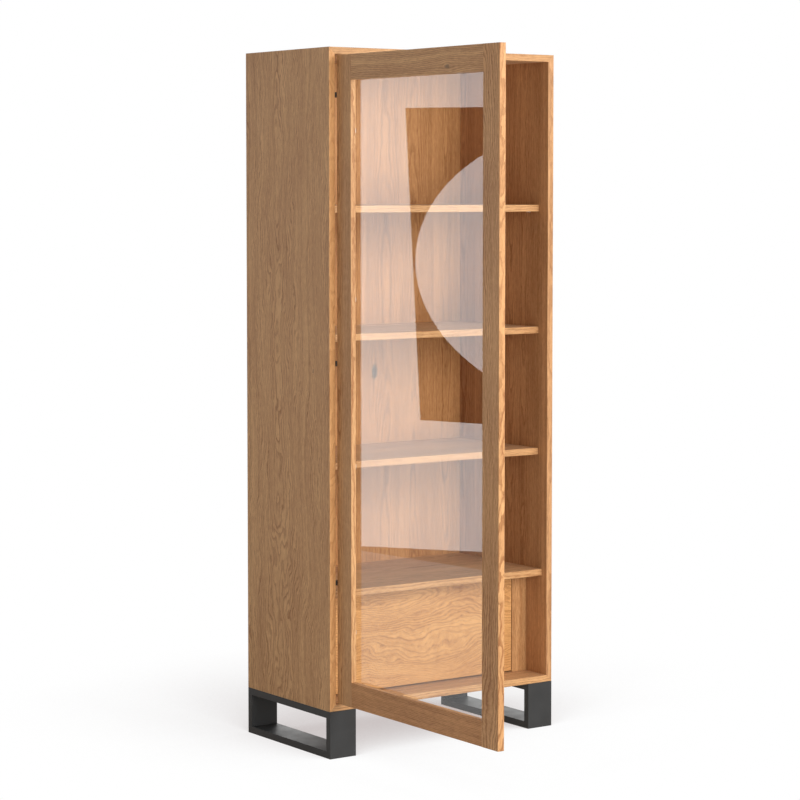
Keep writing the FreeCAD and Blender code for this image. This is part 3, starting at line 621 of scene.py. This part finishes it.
POWDER = plain_material("black_powder_coat", (0.041, 0.0422, 0.0432), rough=0.45, skin=900.0,
                        relief=0.25, mottle=0.06, edge=0.0016, shine=0.22)
ZINC = plain_material("zinc_plate", (0.62, 0.63, 0.64), rough=0.32, metal=1.0, skin=500.0,
                      relief=0.08, mottle=0.08)
HINGE = plain_material("dark_hinge_metal", (0.035, 0.030, 0.027), rough=0.40, metal=0.6)
DARK_SCREW = plain_material("dark_screw", (0.04, 0.04, 0.042), rough=0.38, metal=0.7)
LATCH = plain_material("latch_plastic", (0.42, 0.42, 0.41), rough=0.45, skin=700.0, relief=0.12,
                       mottle=0.03)
PLUNGER = plain_material("plunger_plastic", (0.70, 0.70, 0.69), rough=0.40, skin=700.0,
                         mottle=0.03)
print("finishes:", *(made.name for made in (POWDER, ZINC, HINGE, DARK_SCREW, LATCH, PLUNGER)))

# %% Dress the metal and plastic
FINISHES = {
    POWDER: ("foot_left", "foot_right"),
    ZINC: ("shelf_pins", "glass_clips", "latch_strike_plate", "drawer_brackets",
           "runner_outer_left", "runner_outer_right", "runner_middle_left", "runner_middle_right",
           "runner_inner_left", "runner_inner_right"),
    HINGE: ("hinge_leaves_case", "hinge_leaves_door", "hinge_pins"),
    DARK_SCREW: ("foot_screws",),
    LATCH: ("door_latch", "push_housing_left", "push_housing_right"),
    PLUNGER: ("door_plunger", "push_plunger_left", "push_plunger_right"),
}
for finish, nodes in FINISHES.items():
    for node in nodes:
        dress(node, finish)
    print(finish.name, "on", len(nodes), "nodes")

# %% Glass
GLASS_TINT = (0.985, 0.995, 0.99, 1)
GLASS_IOR = 1.5


def glass_material():
    """Clear float glass."""
    made, _, shader = new_material("clear_glass")
    shader.inputs["Base Color"].default_value = GLASS_TINT
    shader.inputs["Roughness"].default_value = 0.0
    shader.inputs["IOR"].default_value = GLASS_IOR
    shader.inputs["Transmission Weight"].default_value = 1.0
    return made


CLEAR_GLASS = glass_material()
print(CLEAR_GLASS.name, "has an index of refraction of", GLASS_IOR)

# %% [markdown]
# ## The pane
#
# A pane is a plain box, but its edges are ground, and it never quite touches the frame. Where two
# faces lie in one plane, a ray can't tell which comes first, and the rim of the glass would show
# teeth. So the pane is made anew, a tenth of a millimetre smaller all round, with a narrow slope
# on each edge. It casts no shadow, because clear glass takes very little light.

# %% The pane
PANE_CLEARANCE = 0.0001
GROUND_EDGE = 0.0004


def pane_piece():
    """A pane with ground edges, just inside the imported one."""
    low, high = (Vector(corner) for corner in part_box("door_glass"))
    size = high - low - 2 * Vector((PANE_CLEARANCE,) * 3)
    work = bmesh.new()
    bmesh.ops.create_cube(work, size=1.0)
    bmesh.ops.scale(work, vec=size, verts=work.verts)
    bmesh.ops.translate(work, vec=(low + high) / 2, verts=work.verts)
    bmesh.ops.bevel(work, geom=work.edges[:], offset=GROUND_EDGE, segments=1, profile=0.5,
                    affect="EDGES")
    mesh = bpy.data.meshes.new("pane")
    work.to_mesh(mesh)
    work.free()
    mesh.materials.append(CLEAR_GLASS)
    piece = bpy.data.objects.new("pane", mesh)
    bpy.context.collection.objects.link(piece)
    print("pane:", [round(value, 4) for value in size])
    return piece


pane = pane_piece()
pane.visible_shadow = False
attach(pane, "door")
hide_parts("door_glass")

# %% [markdown]
# ## Small screws
#
# Dozens of small screws hold the glass clips, the hinges, the drawer's brackets and the back
# panel. They repeat, so Geometry Nodes makes one head, cuts its cross recess and sets it on each
# point, turned to the point's own direction. The recess is the union of two crossed bars, and it
# follows the head's radius and height, so one tree serves high heads and flat ones.

# %% Screw head tree
HEAD_SIDES = 20
HEAD_RINGS = 2
CROWN_SHARE = 0.72
RECESS_WIDTH = 0.26
RECESS_LENGTH = 1.1
RECESS_LIFT = 0.95


def tree_group(name, inputs):
    """An empty geometry tree with a Geometry input and the inputs given."""
    tree = bpy.data.node_groups.new(name, "GeometryNodeTree")
    tree.interface.new_socket("Geometry", in_out="INPUT", socket_type="NodeSocketGeometry")
    for label, kind in inputs:
        tree.interface.new_socket(label, in_out="INPUT", socket_type="NodeSocket" + kind)
    tree.interface.new_socket("Geometry", in_out="OUTPUT", socket_type="NodeSocketGeometry")
    return tree, tree.nodes.new("NodeGroupInput").outputs, tree.nodes.new("NodeGroupOutput").inputs


def screw_tree():
    """Heads with a cross recess on every vertex, turned to the attribute called out."""
    tree, given, out = tree_group("screw_heads", [("Head Radius", "Float"),
                                  ("Head Height", "Float"), ("Material", "Material")])
    radius, height = given["Head Radius"], given["Head Height"]
    rim = add(tree, "GeometryNodeMeshCone", {"Vertices": HEAD_SIDES, "Side Segments": HEAD_RINGS,
              "Radius Top": math_of(tree, "MULTIPLY", radius, CROWN_SHARE),
              "Radius Bottom": radius, "Depth": height}).outputs["Mesh"]
    width = math_of(tree, "MULTIPLY", radius, RECESS_WIDTH)
    length = math_of(tree, "MULTIPLY", radius, RECESS_LENGTH)
    cross = add(tree, "GeometryNodeMeshBoolean", operation="UNION", solver="EXACT")
    for across, along in ((width, length), (length, width)):
        bar = add(tree, "GeometryNodeMeshCube", {"Size": joined(tree, across, along, height)})
        tree.links.new(bar.outputs["Mesh"], cross.inputs["Mesh 2"])
    lift = joined(tree, 0.0, 0.0, math_of(tree, "MULTIPLY", height, RECESS_LIFT))
    cutter = add(tree, "GeometryNodeTransform", {"Geometry": cross.outputs["Mesh"],
                 "Translation": lift}).outputs[0]
    head = add(tree, "GeometryNodeMeshBoolean", {0: rim, 1: cutter}, operation="DIFFERENCE",
               solver="EXACT").outputs["Mesh"]
    out_way = add(tree, "GeometryNodeInputNamedAttribute", {"Name": "out"},
                  data_type="FLOAT_VECTOR").outputs[0]
    turn = add(tree, "FunctionNodeAlignRotationToVector", {"Vector": out_way}, axis="Z").outputs[0]
    placed = add(tree, "GeometryNodeInstanceOnPoints", {"Points": given["Geometry"],
                 "Instance": head, "Rotation": turn}).outputs[0]
    whole = add(tree, "GeometryNodeRealizeInstances", {"Geometry": placed}).outputs[0]
    done = add(tree, "GeometryNodeSetMaterial", {"Geometry": whole,
               "Material": given["Material"]}).outputs[0]
    tree.links.new(done, out["Geometry"])
    return tree


SCREWS = screw_tree()
print("screw tree:", len(SCREWS.nodes), "nodes")

# %% [markdown]
# ## From packed hardware to screws
#
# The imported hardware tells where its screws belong. A node with several solids is split into its
# islands, and each island's box gives the face and the middle that a screw needs. The tree's
# result is turned into a plain mesh for each body, because an export drops instances.

# %% Islands and baking
SAME_PLACE = 0.000001


def islands(node):
    """The lowest and highest corner of each separate solid in a node."""
    work = bmesh.new()
    work.from_mesh(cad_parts[node].data)
    bmesh.ops.remove_doubles(work, verts=work.verts, dist=SAME_PLACE)
    left = set(work.verts)
    boxes = []
    while left:
        waiting = [left.pop()]
        places = []
        while waiting:
            vertex = waiting.pop()
            places.append(vertex.co.copy())
            for edge in vertex.link_edges:
                other = edge.other_vert(vertex)
                if other in left:
                    left.remove(other)
                    waiting.append(other)
        boxes.append((Vector([min(place[axis] for place in places) for axis in range(3)]),
                      Vector([max(place[axis] for place in places) for axis in range(3)])))
    work.free()
    return sorted(boxes, key=lambda box: tuple(round(value, 4) for value in box[0]))


def baked(name, tree, points, values):
    """Runs a geometry tree on points, given as (place, out), and keeps its result as a mesh."""
    mesh = bpy.data.meshes.new(name + "_points")
    mesh.from_pydata([place for place, _ in points], [], [])
    ways = mesh.attributes.new("out", "FLOAT_VECTOR", "POINT")
    for item, (_, way) in zip(ways.data, points):
        item.vector = way
    carrier = bpy.data.objects.new(name + "_points", mesh)
    bpy.context.collection.objects.link(carrier)
    modifier = carrier.modifiers.new("tree", "NODES")
    modifier.node_group = tree
    for socket in tree.interface.items_tree:
        if socket.in_out == "INPUT" and socket.name in values:
            modifier[socket.identifier] = values[socket.name]
    graph = bpy.context.evaluated_depsgraph_get()
    result = bpy.data.meshes.new_from_object(carrier.evaluated_get(graph))
    result.name = name
    bpy.data.objects.remove(carrier)
    piece = bpy.data.objects.new(name, result)
    bpy.context.collection.objects.link(piece)
    print(name, "on", len(points), "points:", len(result.polygons), "faces")
    return piece


# %% [markdown]
# ## Where the screws go
#
# Each clip has one screw in its tail and each leg of a bracket has one. A hinge leaf has two, and
# the back panel has a row all round. The upright rows run from corner to corner, and the level
# rows have their screws between them.

# %% Clip and bracket screws
CLIP_SCREW_FROM_TAIL = 0.006
BRACKET_STEEL = 0.002
BRACKET_SCREW_SHARE = 0.6


def clip_points():
    """One screw in the tail of each glass clip, on the door's back."""
    low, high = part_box("door_glass")
    middle = (Vector(low) + Vector(high)) / 2
    points = []
    for box_low, box_high in islands("glass_clips"):
        size = box_high - box_low
        axis = 1 if size.y > size.z else 2
        place = (box_low + box_high) / 2
        if place[axis] < middle[axis]:
            place[axis] = box_low[axis] + CLIP_SCREW_FROM_TAIL
        else:
            place[axis] = box_high[axis] - CLIP_SCREW_FROM_TAIL
        place.x = box_high.x
        points.append((place, (1, 0, 0)))
    return points


def bracket_points():
    """One screw in each leg of each angle bracket."""
    points = []
    for low, high in islands("drawer_brackets"):
        middle = (low + high) / 2
        on_left = middle.x < (cad_low[0] + cad_high[0]) / 2
        wall, way = (low.x, 1) if on_left else (high.x, -1)
        leg = high.x - low.x
        points.append((Vector((wall + way * BRACKET_STEEL, low.y + leg * BRACKET_SCREW_SHARE,
                               middle.z)), (way, 0, 0)))
        points.append((Vector((wall + way * leg * BRACKET_SCREW_SHARE, low.y + BRACKET_STEEL,
                               middle.z)), (0, 1, 0)))
    return points


print(len(clip_points()), "clip screws and", len(bracket_points()), "bracket screws")

# %% Hinge screws
LEAF_STEEL = 0.0012
LEAF_SCREW_SHARE = 0.30
LEAF_SCREW_FROM_END = 0.006


def leaf_points(node, axis, face, way):
    """Two flat screws in the plate of each hinge leaf, near the plate's far end."""
    points = []
    for low, high in islands(node):
        for side in (-1, 1):
            place = (low + high) / 2
            place.z += side * (high.z - low.z) * LEAF_SCREW_SHARE
            place[axis] = high[axis] - LEAF_SCREW_FROM_END
            place[1 - axis] = face
            points.append((place, way))
    return points


case_leaf_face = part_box("side_left")[1][0] + LEAF_STEEL
door_leaf_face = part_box("door_stile_hinge")[1][1] + LEAF_STEEL
print("hinge screws at x =", round(case_leaf_face, 4), "and y =", round(door_leaf_face, 4))

# %% Back panel screws
PANEL_SCREW_INSET = 0.005
PANEL_SCREW_PITCH = 0.165
# Of each kind of row: the axis along it, the axis across it, where its first screw sits in steps,
# and how many screws it has beyond its steps.
LEVEL_ROWS = (0, 2, 0.5, 0)
UPRIGHT_ROWS = (2, 0, 0.0, 1)


def panel_points():
    """A row of screws round the rear of the back panel."""
    low, high = (Vector(corner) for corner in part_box("back_panel"))
    points = []
    for along, across, start, extra in (LEVEL_ROWS, UPRIGHT_ROWS):
        span = high[along] - low[along] - 2 * PANEL_SCREW_INSET
        count = round(span / PANEL_SCREW_PITCH)
        for step in range(count + extra):
            for wall in (low[across] + PANEL_SCREW_INSET, high[across] - PANEL_SCREW_INSET):
                place = high.copy()
                place[along] = low[along] + PANEL_SCREW_INSET + span * (step + start) / count
                place[across] = wall
                points.append((place, (0, 1, 0)))
    return points


print(len(panel_points()), "screws round the back panel")

# %% Set the screws
PAN_HEAD = {"Head Radius": 0.0026, "Head Height": 0.0011}
FLAT_HEAD = {"Head Radius": 0.0028, "Head Height": 0.00025}

screw_sets = (
    ("clip_screws", "door", ZINC, "zinc_steel", PAN_HEAD, clip_points()),
    ("bracket_screws", "drawer", ZINC, "zinc_steel", PAN_HEAD, bracket_points()),
    ("back_panel_screws", "carcass", DARK_SCREW, "dark_screw", FLAT_HEAD, panel_points()),
    ("case_hinge_screws", "carcass", HINGE, "dark_hinge_metal", FLAT_HEAD,
     leaf_points("hinge_leaves_case", 1, case_leaf_face, (1, 0, 0))),
    ("door_hinge_screws", "door", HINGE, "dark_hinge_metal", FLAT_HEAD,
     leaf_points("hinge_leaves_door", 0, door_leaf_face, (0, 1, 0))),
)
for name, body, material, slot, sizes, points in screw_sets:
    piece = baked(name, SCREWS, points, {**sizes, "Material": material})
    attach(piece, body)

# %% [markdown]
# ## Floor and light
#
# The bookcase stands in a white studio. A wide lamp straight in front and a smaller one in front
# on the right light the edges and the shelves. A weak lamp on the left lifts the outside of the
# case, one behind on the right does so for the back, and the white room fills the rest. A lamp
# that the closed door could mirror towards the camera would hide the shelves, so the right one
# hangs high and the front one is large and thus dim for its size.
#
# The floor is drawn nearly white to the camera. Where the bookcase covers much of what a point of
# the floor sees up and towards the front, and a little to the left, the Ambient Occlusion node
# turns it a warm grey, so the shade lies behind the case and under it. Rays that a board has
# scattered see a plain pale floor, and rays that a board or a foot has mirrored see a warm and
# duller one, as the drawn white is brighter than a lit floor.


# %% Kinds of ray
def unscattered(tree):
    """1 for rays that no surface has scattered on their way from the camera, and 0 for others."""
    depth = add(tree, "ShaderNodeLightPath").outputs["Diffuse Depth"]
    return math_of(tree, "LESS_THAN", depth, 0.5)


def mirrored(tree):
    """1 for rays that a surface has mirrored, and 0 for others."""
    depth = add(tree, "ShaderNodeLightPath").outputs["Glossy Depth"]
    return math_of(tree, "GREATER_THAN", depth, 0.5)


print("kinds of ray that are told apart:", unscattered.__name__, "and", mirrored.__name__)

# %% Floor
SHADE_REACH = 1.5
SHADE_WAY = (-0.20, -0.60, 0.52)
SHADE_SAMPLES = 16
FULLY_OPEN = 0.88
FADE_CENTRE = (0.2, 0.1, 0.0)
FADE_FROM = 1.4
FADE_TO = 3.2
WHITE = (1.0, 1.0, 1.0, 1)
SHADE = (0.36, 0.28, 0.27, 1)
SCATTERED_FLOOR = (0.8, 0.8, 0.8, 1)
MIRRORED_FLOOR = (0.45, 0.36, 0.29, 1)
FLOOR_REACH = 30.0


def floor_material():
    """A pale floor that fades to white away from the object."""
    made, tree, shader = new_material("studio_floor")
    tree.nodes.remove(shader)
    place = add(tree, "ShaderNodeTexCoord").outputs["Object"]
    far = length_of(tree, vector_of(tree, "SUBTRACT", place, FADE_CENTRE))
    fade = ranged(tree, far, FADE_FROM, FADE_TO, smooth=True)
    way = vector_of(tree, "NORMALIZE", joined(tree, *SHADE_WAY))
    open_sky = add(tree, "ShaderNodeAmbientOcclusion", {"Distance": SHADE_REACH, "Normal": way},
                   samples=SHADE_SAMPLES).outputs["AO"]
    open_sky = math_of(tree, "MAXIMUM", fade, ranged(tree, open_sky, 0.0, FULLY_OPEN))
    shade = blend_colour(tree, open_sky, SHADE, WHITE)
    shade = blend_colour(tree, mirrored(tree), shade, MIRRORED_FLOOR)
    drawn = add(tree, "ShaderNodeEmission", {"Color": shade}).outputs[0]
    plain = add(tree, "ShaderNodeBsdfDiffuse", {"Color": SCATTERED_FLOOR}).outputs[0]
    both = add(tree, "ShaderNodeMixShader", {0: unscattered(tree), 1: plain, 2: drawn}).outputs[0]
    tree.links.new(both, tree.nodes["Material Output"].inputs["Surface"])
    return made


def flat_piece(name, corners, material):
    """A flat polygon."""
    mesh = bpy.data.meshes.new(name)
    mesh.from_pydata(corners, [], [range(len(corners))])
    mesh.materials.append(material)
    piece = bpy.data.objects.new(name, mesh)
    bpy.context.collection.objects.link(piece)
    return piece


floor = flat_piece("floor", [(-FLOOR_REACH, -FLOOR_REACH, 0), (FLOOR_REACH, -FLOOR_REACH, 0),
                             (FLOOR_REACH, FLOOR_REACH, 0), (-FLOOR_REACH, FLOOR_REACH, 0)],
                   floor_material())
print("floor:", 2 * FLOOR_REACH, "m across")

# %% World
ROOM_FILL = 0.19

world = bpy.data.worlds.new("studio")
bpy.context.scene.world = world
world.use_nodes = True
sky = world.node_tree
background = sky.nodes["Background"].inputs
sky.links.new(ranged(sky, unscattered(sky), 0.0, 1.0, ROOM_FILL, 1.0), background["Strength"])
background["Color"].default_value = WHITE
print("room fill:", ROOM_FILL)

# %% Lamps
WARM_LIGHT = (1.0, 0.98, 0.95)
WHITE_LIGHT = (1.0, 1.0, 1.0)


def lamp(name, place, target, size, power, colour):
    """A soft lamp, wide and high as given, that looks at a point."""
    data = bpy.data.lights.new(name, "AREA")
    data.shape = "RECTANGLE"
    data.size, data.size_y = size
    data.energy = power
    data.color = colour
    made = bpy.data.objects.new(name, data)
    made.location = place
    made.rotation_euler = (Vector(target) - Vector(place)).to_track_quat("-Z", "Y").to_euler()
    bpy.context.collection.objects.link(made)
    print("lamp", name, "of", power, "watts")


lamp("key", place=(2.6, -4.3, 3.3), target=(0.4, 0.2, 1.0), size=(3.4, 2.3), power=110.0,
     colour=WARM_LIGHT)
lamp("front", place=(0.2, -5.7, 1.8), target=(0.2, 0.2, 1.0), size=(4.0, 4.0), power=315.0,
     colour=WARM_LIGHT)
lamp("side", place=(-4.6, 0.6, 2.0), target=(0.2, 0.2, 1.0), size=(3.0, 3.0), power=16.0,
     colour=WHITE_LIGHT)
lamp("rear", place=(3.4, 4.6, 2.4), target=(0.4, 0.2, 1.0), size=(3.0, 3.0), power=45.0,
     colour=WARM_LIGHT)

# %% [markdown]
# ## What the glass reflects
#
# Glass shows little of itself. Here it mirrors a wide lit panel that stands behind the case on the
# left, with a dark flag and a round white disc in front of it, and a pale cloth on the floor
# below. Only reflected rays see these four, as with the lights of a studio that stay out of the
# picture. Their outlines are given where they fall on the open door's pane, and lines from the
# camera's mirror image carry them to the plane that each lies in.

# %% Mirrored stage pieces
GLASS_FACE_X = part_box("door_glass")[0][0]
CAMERA_IMAGE = Vector((2 * GLASS_FACE_X - CAMERA_PLACE[0], CAMERA_PLACE[1], CAMERA_PLACE[2]))


def behind_glass(y, z, plane, axis):
    """The point of a plane across an axis that the pane mirrors at its own point (y, z)."""
    way = Vector((GLASS_FACE_X, y, z)) - CAMERA_IMAGE
    return CAMERA_IMAGE + way * ((plane - CAMERA_IMAGE[axis]) / way[axis])


def glow_material(name, colour, strength):
    """A plain light for rays that a surface has mirrored, and clear to all others."""
    made, tree, shader = new_material(name)
    tree.nodes.remove(shader)
    glow = add(tree, "ShaderNodeEmission", {"Color": colour, "Strength": strength}).outputs[0]
    clear = add(tree, "ShaderNodeBsdfTransparent").outputs[0]
    either = add(tree, "ShaderNodeMixShader", {0: mirrored(tree), 1: clear, 2: glow}).outputs[0]
    tree.links.new(either, tree.nodes["Material Output"].inputs["Surface"])
    return made


def mirror_piece(name, outline, plane, material, axis=0):
    """A flat stage piece that only reflected rays see, with its outline given on the pane."""
    piece = flat_piece(name, [behind_glass(y, z, plane, axis) for y, z in outline], material)
    for kind in ("camera", "diffuse", "volume_scatter", "shadow"):
        setattr(piece, "visible_" + kind, False)


print("the open pane mirrors the camera to x =", round(CAMERA_IMAGE.x, 3))

# %% Lights of the mirrored pieces
PANEL_WHITE = (1.0, 0.99, 0.99, 1)
PANEL_GLOW = 2.4
FLAG_GLOW = 0.02
CLOTH_GLOW = 0.75
LIT = glow_material("panel_light", PANEL_WHITE, PANEL_GLOW)
FLAG = glow_material("panel_flag", WHITE, FLAG_GLOW)
CLOTH = glow_material("floor_cloth", WHITE, CLOTH_GLOW)
print("the panel glows at", PANEL_GLOW, "and the cloth at", CLOTH_GLOW)

# %% Panel, cloth, flag and disc
PANEL_X = -2.2
FLAG_X = PANEL_X + 0.05
DISC_X = PANEL_X + 0.1
CLOTH_HEIGHT = 0.004
PANEL_LINE = ((-0.02, 0.6075), (-0.76, 0.674), (-0.76, 2.10), (-0.02, 2.10))
FLAG_LINE = ((-0.311, 1.823), (-0.76, 1.8145), (-0.76, 1.0026), (-0.381, 0.988))
CLOTH_LINE = ((-0.02, 0.18), (-0.76, 0.18), (-0.76, 0.62), (-0.02, 0.60))
DISC_CENTRE = (-1.14, 1.4136)
DISC_RADIUS = (0.783, 0.3557)
DISC_CORNERS = 72
disc_turns = [2 * math.pi * corner / DISC_CORNERS for corner in range(DISC_CORNERS)]
disc_line = [(DISC_CENTRE[0] + DISC_RADIUS[0] * math.cos(turn),
              DISC_CENTRE[1] + DISC_RADIUS[1] * math.sin(turn)) for turn in disc_turns]

mirror_piece("lit_panel", PANEL_LINE, PANEL_X, LIT)
mirror_piece("floor_cloth", CLOTH_LINE, CLOTH_HEIGHT, CLOTH, axis=2)
mirror_piece("dark_flag", FLAG_LINE, FLAG_X, FLAG)
mirror_piece("white_disc", disc_line, DISC_X, LIT)
print("lit panel at x =", PANEL_X, "and floor cloth at z =", CLOTH_HEIGHT)
